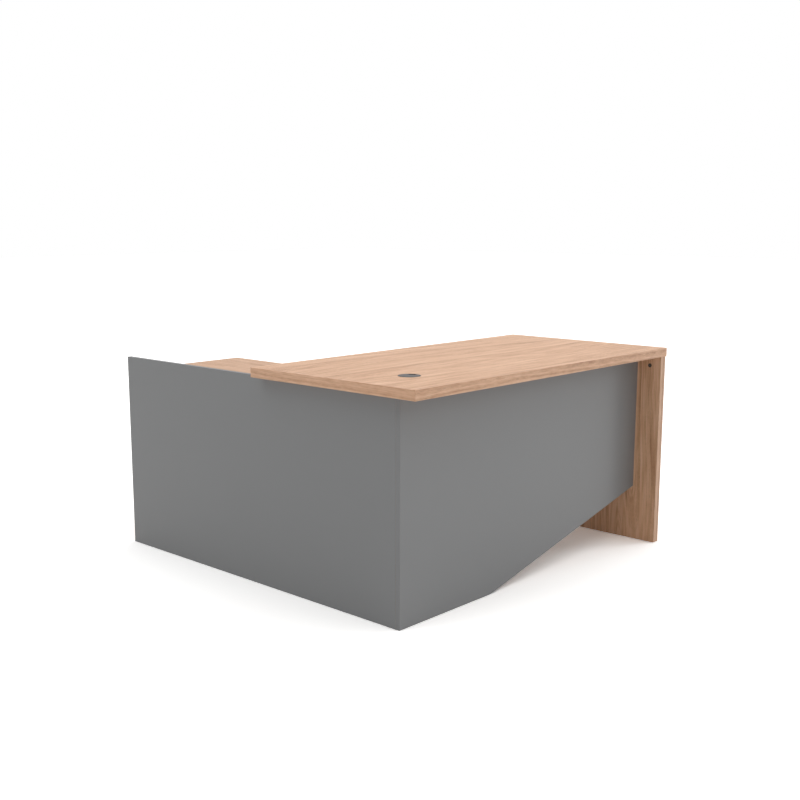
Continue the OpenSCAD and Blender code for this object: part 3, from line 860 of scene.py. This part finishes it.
top_band("top_band_long_front", "main_top_front_band", band_along_x, 1, top_low.y, True)
top_band("top_band_long_back", "main_top_back_band", band_along_x, 1, top_high.y, True)
top_band("top_band_left", "main_top_left_band", band_along_y, 0, top_low.x, False)
top_band("top_band_right", "main_top_right_band", band_along_y, 0, top_high.x, False)

# %% [markdown]
# ## End panels and return top
# Both wooden legs are upright boards with the grain running up. Their band goes round the two upright
# edges and the bottom in one outline. In the bottom edge are round pockets for the feet, each with a
# threaded insert above it. The return's leg and top have no band where they meet the side panel.

# %% Pockets for the inset feet
INSET_FEET = ["end_near", "end_far", "return_left", "return_right"]
FOOT_BORES = ["foot pockets", "foot inserts", "stud rooms"]
insert_boxes = solids("foot_inserts")
bores.update({kind: [] for kind in FOOT_BORES})
for foot in INSET_FEET:
    pad_low, pad_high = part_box(foot + "_pad")
    stud_low, stud_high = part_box(foot + "_stud")
    centre = (pad_low + pad_high) / 2
    pad_radius = max((pad_high - pad_low).xy) / 2
    insert = min(insert_boxes, key=lambda b: ((b[0] + b[1]) / 2 - centre).length)
    bores["foot pockets"].append(upright(centre, -2 * MM, pad_high.z + 1 * MM, pad_radius + 1 * MM))
    bores["foot inserts"].append(upright(centre, 0, insert[1].z, (insert[1].x - insert[0].x) / 2 + FIT))
    bores["stud rooms"].append(upright(centre, 0, stud_high.z + 2 * MM, 5 * MM))
print("pockets, mm:", [in_mm(pocket[0]) for pocket in bores["foot pockets"]])

# %% Banding along an outline
def around(board, band, axis, corners):
    """Outer and inner run of a band; a corner has 0 for the low side and 1 for the high one."""
    u, v = [i for i in range(3) if i != axis]

    def run(node, order):
        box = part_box(node)
        return [(box[a][u], box[b][v]) for a, b in order]
    return run(band, corners), run(board, corners[::-1])


def band_outline(name, node, finishes, slot, axis, outer, inner, rounding, kinds=()):
    """Band round several edges of a board, between an outer and an inner run of points."""
    # finishes holds one finish, or three: for the runs along X, along Y and upright
    low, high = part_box(node)
    bm = prism(outer + inner, axis, low[axis], high[axis])
    across = [i for i in range(3) if i != axis]

    def nearest(vertex):
        here = Vector([vertex.co[i] for i in across])
        return min(((Vector(point) - here).length, i) for i, point in enumerate(outer))

    def is_outer(edge):
        (off_one, one), (off_two, two) = map(nearest, edge.verts)
        corner = one == two and 0 < one < len(outer) - 1
        return off_one < FIT and off_two < FIT and (one != two or corner)

    soften(bm, rounding, 4, where=is_outer)
    soften(bm, BAND_ARRIS, 1)
    bm = drill(bm, kinds)
    for face in bm.faces:
        looks = max(across, key=lambda i: abs(face.normal[i]))
        face.material_index = sum(across) - looks if len(finishes) > 1 else 0
    make_piece(name, bm, finishes, node, weighted=True)


# %% End panel, return end panel and return top
def wood_panel(name, board, band, finish, axis, corners):
    """Wooden board and the band that runs through these corners of it."""
    make_board(name + "_board", board, finish, axis, FITTING_BORES + FOOT_BORES)
    band_outline(name + "_band", band, wood_bands, "wood_decor_edge_band", axis,
                 *around(board, band, axis, corners), BAND_ROUND, FOOT_BORES)


wood_panel("end", "end_panel", "end_panel_edging", walnut_end, 0, [(0, 1), (0, 0), (1, 0), (1, 1)])
wood_panel("return_end", "return_end_panel", "return_end_edging", walnut_return_end, 1,
           [(1, 1), (1, 0), (0, 0)])
wood_panel("return", "return_top", "return_top_edging", walnut_return, 2, [(1, 0), (1, 1), (0, 1)])

# %% [markdown]
# ## Grey panels
# The visitor sees two 16 mm boards that meet at the corner. The front one covers the end of the side one,
# so its narrow banded edge shows as a strip between two fine lines. Its lower right corner is cut away on
# a slant. The cut's corners are read from the frame's solid, because a box would not tell them.

# %% Corners of the slanted cut
def cut_corners(node):
    """Where the slanted cut starts on the bottom edge, and how high it reaches at the right end."""
    points = [v.co for v in nodes[node].data.vertices]
    low, high = box_of(points)
    start = max(p.x for p in points if p.z < low.z + FIT)
    rise = min(p.z for p in points if p.x > high.x - FIT)
    return start, rise


board_cut = cut_corners("front_panel")
band_cut = cut_corners("front_panel_edging")
print("cut of the board, mm:", in_mm(board_cut))

# %% Bores for the brackets' screws
bores["screws"] = []
for low, high in solids("bracket_screws"):
    axis = long_axis(low, high)
    start = (low + high) / 2
    end = start.copy()
    start[axis], end[axis] = low[axis] - 0.5 * MM, high[axis]
    bores["screws"].append((start, end, 2 * MM + FIT))
print("screws:", len(bores["screws"]))

# %% Front panel
GREY_ROUND = 0.7 * MM
low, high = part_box("front_panel")
outline = [(low.x, high.z), (low.x, low.z), (board_cut[0], low.z), (high.x, board_cut[1]), (high.x, high.z)]
make_board("front_board", "front_panel", grey_board, 1, FITTING_BORES + ["screws"],
           prism(outline, 1, low.y, high.y))
outer, inner = around("front_panel", "front_panel_edging", 1, [(0, 1), (0, 0)])
outer += [(band_cut[0], 0), (high.x, band_cut[1])]
inner = [(high.x, board_cut[1]), (board_cut[0], low.z)] + inner
band_outline("front_band", "front_panel_edging", [grey_band], "grey_edge_band", 1, outer, inner, GREY_ROUND)

# %% Side panel
make_board("side_board", "side_panel", grey_board, 0, FITTING_BORES + ["screws"])
outer, inner = around("side_panel", "side_panel_edging", 0, [(0, 1), (1, 1), (1, 0), (0, 0)])
band_outline("side_band", "side_panel_edging", [grey_band], "grey_edge_band", 0, outer, inner, GREY_ROUND,
             ["bolt threads", "bolt bores", "dowels"])

# %% [markdown]
# ## Cable grommet
# A moulded sleeve drops into the hole and its rim lies in a shallow seat. The cap turns on a ledge inside
# the rim, and its slot lets the cables through. Inside the rim the sleeve is painted almost black, as painted
# shade of the hole, so the slot reads as an opening. The sleeve is one closed section turned round; the cap
# is a disc with a skirt below, both cut open at the slot. From here on the pieces are drawn in millimetres.

# %% Sleeve
RIM_RADIUS = 35
RIM_THICK = 2.4
SLEEVE_OUT = 29.9
SLEEVE_IN = 28.1
SLEEVE_LENGTH = 24
LEDGE_RADIUS = 31.5
LEDGE = 0.65
section = fillet([(SLEEVE_IN, -SLEEVE_LENGTH, 0.4), (SLEEVE_OUT, -SLEEVE_LENGTH, 0.8), (SLEEVE_OUT, 0, 0),
                  (RIM_RADIUS, 0, 0.3), (RIM_RADIUS, RIM_THICK, 1.3), (LEDGE_RADIUS, RIM_THICK, 0.35),
                  (LEDGE_RADIUS, LEDGE, 0.1), (SLEEVE_IN, LEDGE, 0.2)], 5)
bm = stack([(z, r) for r, z in section], 96, closed=True)
# Every face inside the rim's outer edge and below its top (ledge, bore and sleeve) gets the near-black
# painted shade; the rim stays grey.
for face in bm.faces:
    spot = face.calc_center_median()
    on_rim = spot.xy.length > LEDGE_RADIUS + ROOM or spot.z > RIM_THICK - ROOM
    face.material_index = 0 if on_rim else 1
placed(bm, Matrix.Translation((grommet.x, grommet.y, rim_z)))
make_piece("grommet_ring", bm, [grommet_grey, sleeve_painted_shade], "grommet_sleeve")

# %% Cap
CAP_RADIUS = 31.2
CAP_THICK = 1.6
SLOT_SIDE = 13
SLOT_DEPTH = 14
SLOT_CORNER = 3
SLOT_TURN = math.radians(20)
SKIRT_OUT = 27.8
SKIRT_IN = 26.4
SKIRT_LENGTH = 8
SKIRT_GAP = 0.02


def open_ring(radius, gap, steps):
    """Points round a circle, but for a gap on each side of the slot's middle."""
    angles = [gap + 2 * (math.pi - gap) * k / steps for k in range(steps + 1)]
    return [(radius * math.cos(a), radius * math.sin(a)) for a in angles]


slot_end = CAP_RADIUS - SLOT_DEPTH
slot = fillet([(CAP_RADIUS, -SLOT_SIDE, 0), (slot_end, -SLOT_SIDE, SLOT_CORNER),
               (slot_end, SLOT_SIDE, SLOT_CORNER), (CAP_RADIUS, SLOT_SIDE, 0)], 8)[1:-1]
disc = open_ring(CAP_RADIUS, math.asin(SLOT_SIDE / CAP_RADIUS), 90) + slot
disc = soften(prism(disc, 2, 0, CAP_THICK), 0.35, 3)
gap = math.asin(SLOT_SIDE / SKIRT_IN) + SKIRT_GAP
skirt = open_ring(SKIRT_OUT, gap, 80) + open_ring(SKIRT_IN, gap, 80)[::-1]
skirt = soften(prism(skirt, 2, -SKIRT_LENGTH, 0.5), 0.25, 2)
cap_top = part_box("grommet_cap")[1].z
cap_place = Matrix.Translation((grommet.x, grommet.y, cap_top - CAP_THICK * MM))
bm = placed(carve(disc, skirt, "UNION"), cap_place @ Matrix.Rotation(SLOT_TURN, 4, "Z"))
make_piece("grommet_lid", bm, [grommet_grey], "grommet_cap", body="cap", weighted=True)

# %% [markdown]
# ## Cams, bolts and dowels
# A cam is a die-cast drum that sits flush in the board's inner face. A turn of its cross pulls the bolt's
# head in and draws the boards together. An arrow in its rim shows where the bolt comes in. It is one
# turned section, with the bolt's channel, the cross and the arrow cut out.

# %% Cam
def cam_cross(face):
    """Cutter for the cross: two blades with sloping ends."""
    wide, deep, recess, half_width = 4.6, 2.4, 0.4, 0.85
    side = fillet([(-wide, face + 1, 0), (-wide, face - recess, 0), (-wide * 0.55, face - deep, 0.4),
                   (wide * 0.55, face - deep, 0.4), (wide, face - recess, 0), (wide, face + 1, 0)], 3)
    blades = [prism(side, 1, -half_width, half_width) for blade in range(2)]
    blades[1].transform(Matrix.Rotation(math.pi / 2, 4, "Z"))
    return carve(*blades, "UNION")


def cam_shape():
    """Cam in its own frame: its face at Y = CAM_FACE, and the bolt's axis along Z."""
    face, rim, bolt_axis = CAM_DEPTH, CAM_RADIUS, CAM_DEPTH - CAM_FACE
    bm = stack([(0, rim - 0.6), (0.6, rim), (face - 0.4, rim), (face - 0.1, rim - 0.15), (face, rim - 0.4),
                (face, 5.9), (face - 0.35, 5.6), (face - 0.4, 5.3), (face - 0.4, 0.5)], 64)
    arrow = prism([(0.9, -6.1), (-0.9, -6.1), (0, -6.95)], 2, face - 0.3, face + 1)
    channel = rod((0, 2, bolt_axis), (0, -20, bolt_axis), 3.9, 40)
    for cutter in (cam_cross(face), arrow, channel):
        bm = carve(bm, cutter)
    bm.transform(Matrix.Translation((0, -bolt_axis, 0)) @ Matrix.Rotation(-math.pi / 2, 4, "X"))
    return bm


for row in ROWS:
    drums = copies(cam_shape(), cam_places[row])
    make_piece(row + "_cam_drums", drums, [cast_zinc], row + "_cams")

# %% [markdown]
# The bolt has a round head that the cam grips, a thin neck, a plain shank and a coarse thread that cuts its
# own way into the mating board. The dowel beside it only keeps the boards in line: a beech peg with
# flutes, so that air and glue can get out.

# %% Bolts and dowels
def bolt_shape():
    """Cam bolt, from the centre of its cam along Z."""
    neck, shank = 7.5, CAM_REACH
    head = [(0, 2.3), (0.4, 2.9), (1.2, 3.3), (2.4, 3.3), (3.2, 2.8), (3.5, 2), (neck - 0.6, 2), (neck, 3.2),
            (neck + 0.3, 3.5), (shank - 0.3, 3.5), (shank, 3)]
    return stack(head + thread(THREAD_RADIUS, shank + 0.1, shank + BOLT_THREAD, 2.75, 0.8, 1.2), 32)


def fluted(radius, count, depth, power):
    """Radius of a round section with grooves all round it."""
    return lambda a: radius - depth * (0.5 + 0.5 * math.cos(count * a)) ** power


def dowel_shape():
    """Fluted peg about its middle."""
    half, chamfer = DOWEL_HALF, 1.2
    tip, side = fluted(3.1, 20, 0.22, 2), fluted(3.98, 20, 0.22, 2)
    return stack([(-half, tip), (chamfer - half, side), (half - chamfer, side), (half, tip)], 80)


for row in ROWS:
    screws = copies(bolt_shape(), cam_places[row])
    make_piece(row + "_cam_bolts", screws, [turned_zinc], row + "_bolts")
    pegs = copies(dowel_shape(), dowel_places[row])
    make_piece(row + "_pegs", pegs, [beech], row + "_dowels")

# %% [markdown]
# ## Levelling feet
# Behind the grey panels each foot hangs in a bent steel bracket with a nut on its plate. In the end panels
# the foot's stud runs in a threaded insert, and its pad hides in the pocket. The stud turns in its pad, so
# both go down together when the desk is levelled.

# %% Where the brackets sit
BRACKET_LIFT = 14


def bracket_frames():
    """One frame for each bracket: the origin on the panel's face at the floor, Y away from it."""
    frames = []
    for low, high in solids("foot_brackets"):
        middle = (low + high) / 2
        if high.x - low.x > high.y - low.y:
            frames.append(Matrix.Translation((middle.x, low.y, 0)))
        else:
            turn = Matrix.Rotation(-math.pi / 2, 4, "Z")
            frames.append(Matrix.Translation((low.x, middle.y, 0)) @ turn)
    return frames


bracket_places = bracket_frames()
low, high = solids("foot_brackets")[0]
B_HIGH, B_REACH, B_WIDE = sorted((high - low) / MM)
pad_low, pad_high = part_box("side_near_pad")
FOOT_OUT = ((pad_low.x + pad_high.x) / 2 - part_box("foot_brackets")[0].x) / MM
print("bracket, mm:", in_mm(high - low), "stud", round(FOOT_OUT, 1), "mm out")

# %% Brackets
SHEET = 2.5
STUD_RADIUS = 4
STUD_BORE = 4.3
SCREW_RADIUS = 2
screw_up = BRACKET_LIFT + 0.6 * B_HIGH
screw_sides = (-0.3 * B_WIDE, 0.3 * B_WIDE)


def bracket_shape():
    """Steel angle with a rounded bend, rounded free corners and its three holes."""
    lift, top = BRACKET_LIFT, BRACKET_LIFT + B_HIGH
    bend = fillet([(0, lift, 4), (B_REACH, lift, 0), (B_REACH, lift + SHEET, 0), (SHEET, lift + SHEET, 1.5),
                   (SHEET, top, 0), (0, top, 0)], 6)
    bm = prism(bend, 0, -B_WIDE / 2, B_WIDE / 2)

    def free_corner(edge):
        one, two = (v.co for v in edge.verts)
        side = abs(abs(one.x) - B_WIDE / 2) < ROOM and abs(one.x - two.x) < ROOM
        out = min(one.y, two.y) > B_REACH - ROOM
        up = min(one.z, two.z) > top - ROOM
        return side and (out or up)

    soften(bm, 5, 6, where=free_corner)
    soften(bm, 0.2, 2)
    cutters = [rod((0, FOOT_OUT, lift - 2), (0, FOOT_OUT, lift + 5), STUD_BORE)]
    cutters += [rod((x, -3, screw_up), (x, 6, screw_up), SCREW_RADIUS + ROOM) for x in screw_sides]
    return carve(bm, joined(cutters))


angles = copies(bracket_shape(), bracket_places)
make_piece("foot_angles", angles, [zinc_plate], "foot_brackets", weighted=True)

# %% Nuts, screws and inserts
NUT_ACROSS = 13
NUT_FLAT = NUT_ACROSS / 2 + 0.1
NUT_HIGH = 6.5
PITCH = 1.25


def hex_rings(low, high, chamfer):
    """Four rings of a hexagon with chamfered corners, between two heights."""
    cut, full = hexagon(NUT_ACROSS, NUT_FLAT), hexagon(NUT_ACROSS, NUT_ACROSS)
    return [(low, cut), (low + chamfer, full), (high - chamfer, full), (high, cut)]


def nut_shape():
    """Hexagon nut with chamfered corners and a threaded bore."""
    inside = thread(STUD_BORE, 0.5, NUT_HIGH - 0.5, PITCH, 0.35, sign=-1)
    mouth = STUD_BORE + 0.5
    rings = hex_rings(0, NUT_HIGH, 0.5) + [(NUT_HIGH, mouth)] + inside[::-1] + [(0, mouth)]
    return stack(rings, 48, closed=True)


def screw_shape():
    """Pan-head screw: the head's underside at Z = 0, the point up, a cross in the head."""
    head = [(-2.4, 1.2), (-2.28, 2.2), (-1.9, 3.2), (-1.3, 3.85), (-0.4, 4), (0, 3.9), (0, 1.9)]
    body = thread(SCREW_RADIUS, 0.3, SHEET + 12, 1.8, 0.55, 1.3)
    blades = [block((-x, -y, -3.4), (x, y, -1.1)) for x, y in ((2.1, 0.5), (0.5, 2.1))]
    return carve(stack(head + body, 32), carve(*blades, "UNION"))


def insert_shape():
    """Threaded insert: a coarse thread outside holds in the chipboard, a fine one inside takes the stud."""
    length, edge, mouth = 18, 5.2, 4.7
    outside = [(0, edge)] + thread(6, 0.3, length - 0.3, 2.5, 0.7) + [(length, edge)]
    inside = thread(STUD_BORE, 0.5, length - 0.5, PITCH, 0.3, sign=-1)
    return stack(outside + [(length, mouth)] + inside[::-1] + [(0, mouth)], 36, closed=True)


def shifted(where, x, y, z):
    """Frame moved by millimetres in its own directions."""
    return where @ Matrix.Translation(Vector((x, y, z)) * MM)


def standing(low, high, z=0):
    """Upright frame in the middle of a box, at a given height."""
    return Matrix.Translation(((low.x + high.x) / 2, (low.y + high.y) / 2, z))


into_panel = Matrix.Rotation(math.pi / 2, 4, "X")
nut_places = [shifted(where, 0, FOOT_OUT, BRACKET_LIFT + SHEET) for where in bracket_places]
screw_places = [shifted(where, x, SHEET, screw_up) @ into_panel
                for where in bracket_places for x in screw_sides]
insert_places = [standing(low, high, low.z) for low, high in insert_boxes]
for name, shape, places, node in (("foot_plate_nuts", nut_shape(), nut_places, "foot_nuts"),
                                  ("angle_screws", screw_shape(), screw_places, "bracket_screws"),
                                  ("stud_inserts", insert_shape(), insert_places, "foot_inserts")):
    make_piece(name, copies(shape, places), [turned_zinc], node)

# %% [markdown]
# A pad is moulded with a ribbed edge to turn it by hand, a chamfer at the floor and a socket for the
# stud. The stud of a bracket foot has a hexagon for a spanner and a slot in its top.

# %% Pads
PAD_FLOOR = 2
SOCKET = STUD_RADIUS + ROOM
INSET_FLAT = 9.46


def bracket_pad_shape():
    """Round glide with ribs round its edge."""
    ribs, ends = fluted(15, 36, 0.3, 3), fluted(14.6, 36, 0.3, 3)
    return stack([(0, 13.2), (0.3, 13.9), (1, ends), (1.4, ribs), (3.7, ribs), (4.2, ends), (4.6, 13.8),
                  (6.6, 10.9), (6.95, 10.2), (7, 9.8), (7, SOCKET + 0.4), (6.6, SOCKET), (PAD_FLOOR, SOCKET)],
                 144)


def inset_pad_shape():
    """Glide with two flats for a spanner."""
    bm = stack([(0, 9.8), (0.3, 10.5), (1, 11), (4.4, 11), (4.85, 10.7), (5, 10.2), (5, SOCKET + 0.4),
                (4.6, SOCKET), (PAD_FLOOR, SOCKET)], 96)
    for vertex in bm.verts:
        vertex.co.y = max(-INSET_FLAT, min(INSET_FLAT, vertex.co.y))
    return bm


# %% Studs
STUD_FOOT = [(PAD_FLOOR, 3.6), (PAD_FLOOR + 0.4, STUD_RADIUS)]
THREAD_DEPTH = 0.6


def bracket_stud_shape(top):
    """M8 stud with its hexagon above the pad and a slot in its top."""
    rings = STUD_FOOT + [(7, STUD_RADIUS)] + hex_rings(7, 10, 0.4) + [(10, 3.6)]
    rings += thread(STUD_RADIUS, 10.2, top, PITCH, THREAD_DEPTH, THREAD_DEPTH)
    return carve(stack(rings, 48), block((-6, -0.6, top - 2), (6, 0.6, top + 1)))


def inset_stud_shape(top):
    """Plain M8 stud for an insert."""
    rings = STUD_FOOT + [(5.2, STUD_RADIUS)]
    return stack(rings + thread(STUD_RADIUS, 5.4, top, PITCH, THREAD_DEPTH, THREAD_DEPTH), 36)


# %% Feet in their places
BRACKET_FEET = ["side_near", "side_middle", "side_far", "front"]
for foot in BRACKET_FEET + INSET_FEET:
    stud_low, stud_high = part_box(foot + "_stud")
    top = stud_high.z / MM
    if foot in BRACKET_FEET:
        pad, stud = bracket_pad_shape(), bracket_stud_shape(top)
    else:
        pad, stud = inset_pad_shape(), inset_stud_shape(top)
    body, where = foot + "_foot", standing(stud_low, stud_high)
    make_piece(foot + "_glide", placed(pad, where), [glide_black], foot + "_pad", body)
    make_piece(foot + "_screw", placed(stud, where), [turned_zinc], foot + "_stud", body)

# %% [markdown]
# ## Picture settings
# The view transform is Standard, so a colour is shown as it was mixed.

# %% Picture settings and the end
scene.view_settings.view_transform = "Standard"
